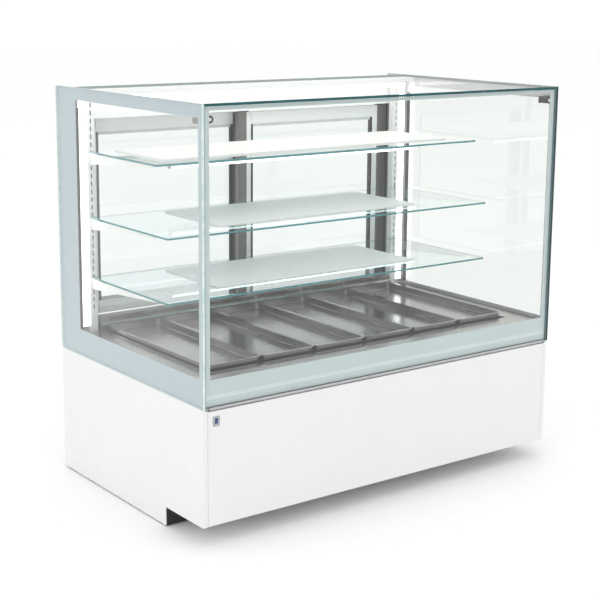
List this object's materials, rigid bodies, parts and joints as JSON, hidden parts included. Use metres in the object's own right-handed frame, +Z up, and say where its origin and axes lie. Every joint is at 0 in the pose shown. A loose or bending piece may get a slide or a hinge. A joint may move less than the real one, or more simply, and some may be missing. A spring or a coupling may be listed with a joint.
{
  "type": "bakery display case",
  "caption": "Refrigerated square-glass bakery counter with glass shelves, steel trays, a tilting front glass and sliding rear doors.",
  "frame": {"origin": "on the floor, under the middle of the case's outline", "axes": "+Z up; +X along the width, to the right of a customer facing the case; +Y from the customer's side to the service side"},
  "size_m": [1.385, 0.86, 1.27],
  "materials": {
    "white_enamel": "gloss powder coat",
    "black_paint": "satin paint",
    "graphite_aluminium": "satin powder coat",
    "pale_aluminium": "natural anodised",
    "stainless": "brushed",
    "galvanised": "galvanised",
    "machined_aluminium": "turned and satin",
    "tempered_glass": "polished edges",
    "door_glazing": "double glazing, grey spacer",
    "shelf_glass": "polished edges",
    "white_acrylic": "gloss",
    "opal_cover": "frosted",
    "white_bracket": "satin powder coat",
    "well_liner": "moulded",
    "black_plastic": "fine texture",
    "grey_nylon": "satin",
    "fin_aluminium": "rolled",
    "copper_pipe": "drawn",
    "compressor_paint": "gloss stove enamel",
    "zinc_screw": "zinc plated"
  },
  "bodies": {
    "case": {"chassis_frame": "black_paint", "levelling_feet": "black_plastic", "side_panel_left": "white_enamel", "side_panel_right": "white_enamel", "front_panel": "white_enamel", "kick_plate": "black_paint", "rear_panel": "white_enamel", "floor_pan": "galvanised", "badge_plate": "machined_aluminium", "insulated_well": "well_liner", "deck_surround": "stainless", "rear_air_duct": "stainless", "side_glass_left": "tempered_glass", "side_glass_right": "tempered_glass", "top_glass": "tempered_glass", "hinge_brackets": "machined_aluminium", "catch_plates": "stainless", "side_glass_rails": "pale_aluminium", "rear_head": "pale_aluminium", "rear_sill": "pale_aluminium", "rear_jambs": "graphite_aluminium", "shelf_uprights": "white_bracket", "shelf_brackets": "white_bracket", "shelf_glass_top": "shelf_glass", "shelf_glass_middle": "shelf_glass", "shelf_glass_bottom": "shelf_glass", "lamp_housings": "pale_aluminium", "lamp_lenses": "opal_cover", "evaporator": "fin_aluminium", "fan_bulkhead": "galvanised", "compressor": "compressor_paint", "condenser": "fin_aluminium", "refrigerant_pipes": "copper_pipe", "control_fascia": "black_plastic", "cable_gland": "grey_nylon", "panel_screws": "zinc_screw"},
    "front_glass_panel": {"front_glass": "tempered_glass", "front_glass_rail": "machined_aluminium", "catch_knobs": "machined_aluminium"},
    "door_left": {"door_left_frame": "graphite_aluminium", "door_left_glass": "door_glazing", "door_left_pull": "graphite_aluminium", "door_left_glides": "grey_nylon"},
    "door_right": {"door_right_frame": "graphite_aluminium", "door_right_glass": "door_glazing", "door_right_pull": "graphite_aluminium", "door_right_glides": "grey_nylon"},
    "tray_1": {"tray_1": "stainless"},
    "tray_2": {"tray_2": "stainless"},
    "tray_3": {"tray_3": "stainless"},
    "tray_4": {"tray_4": "stainless"},
    "tray_5": {"tray_5": "stainless"},
    "tray_6": {"tray_6": "stainless"},
    "board_top": {"serving_board_top": "white_acrylic"},
    "board_middle": {"serving_board_middle": "white_acrylic"},
    "board_bottom": {"serving_board_bottom": "white_acrylic"},
    "evaporator_fan_left": {"evaporator_fan_left": "black_plastic"},
    "evaporator_fan_right": {"evaporator_fan_right": "black_plastic"},
    "condenser_fan": {"condenser_fan": "black_plastic"},
    "light_rocker": {"light_switch": "grey_nylon"}
  },
  "joints": [
    {"name": "front_glass_tilt", "type": "hinge", "parent": "case", "child": "front_glass_panel", "pos_m": [0, -0.4245, 0.413], "axis": [1, 0, 0], "range_deg": [0, 60]},
    {"name": "door_left_slide", "type": "slide", "parent": "case", "child": "door_left", "axis": [1, 0, 0], "range_m": [0, 0.594]},
    {"name": "door_right_slide", "type": "slide", "parent": "case", "child": "door_right", "axis": [-1, 0, 0], "range_m": [0, 0.594]},
    {"name": "tray_1_lift", "type": "slide", "parent": "case", "child": "tray_1", "axis": [0, 0, 1], "range_m": [0, 0.1]},
    {"name": "tray_2_lift", "type": "slide", "parent": "case", "child": "tray_2", "axis": [0, 0, 1], "range_m": [0, 0.1]},
    {"name": "tray_3_lift", "type": "slide", "parent": "case", "child": "tray_3", "axis": [0, 0, 1], "range_m": [0, 0.1]},
    {"name": "tray_4_lift", "type": "slide", "parent": "case", "child": "tray_4", "axis": [0, 0, 1], "range_m": [0, 0.1]},
    {"name": "tray_5_lift", "type": "slide", "parent": "case", "child": "tray_5", "axis": [0, 0, 1], "range_m": [0, 0.1]},
    {"name": "tray_6_lift", "type": "slide", "parent": "case", "child": "tray_6", "axis": [0, 0, 1], "range_m": [0, 0.1]},
    {"name": "board_top_lift", "type": "slide", "parent": "case", "child": "board_top", "axis": [0, 0, 1], "range_m": [0, 0.08]},
    {"name": "board_middle_lift", "type": "slide", "parent": "case", "child": "board_middle", "axis": [0, 0, 1], "range_m": [0, 0.08]},
    {"name": "board_bottom_lift", "type": "slide", "parent": "case", "child": "board_bottom", "axis": [0, 0, 1], "range_m": [0, 0.08]},
    {"name": "evaporator_fan_left_spin", "type": "hinge", "parent": "case", "child": "evaporator_fan_left", "pos_m": [-0.21, 0.13, 0.388], "axis": [0, 1, 0], "continuous": true},
    {"name": "evaporator_fan_right_spin", "type": "hinge", "parent": "case", "child": "evaporator_fan_right", "pos_m": [0.21, 0.13, 0.388], "axis": [0, 1, 0], "continuous": true},
    {"name": "condenser_fan_spin", "type": "hinge", "parent": "case", "child": "condenser_fan", "pos_m": [-0.27, 0.274, 0.17], "axis": [0, 1, 0], "continuous": true},
    {"name": "light_switch_rock", "type": "hinge", "parent": "case", "child": "light_rocker", "pos_m": [0.52, 0.416, 0.205], "axis": [-1, 0, 0], "range_deg": [0, 14]}
  ]
}
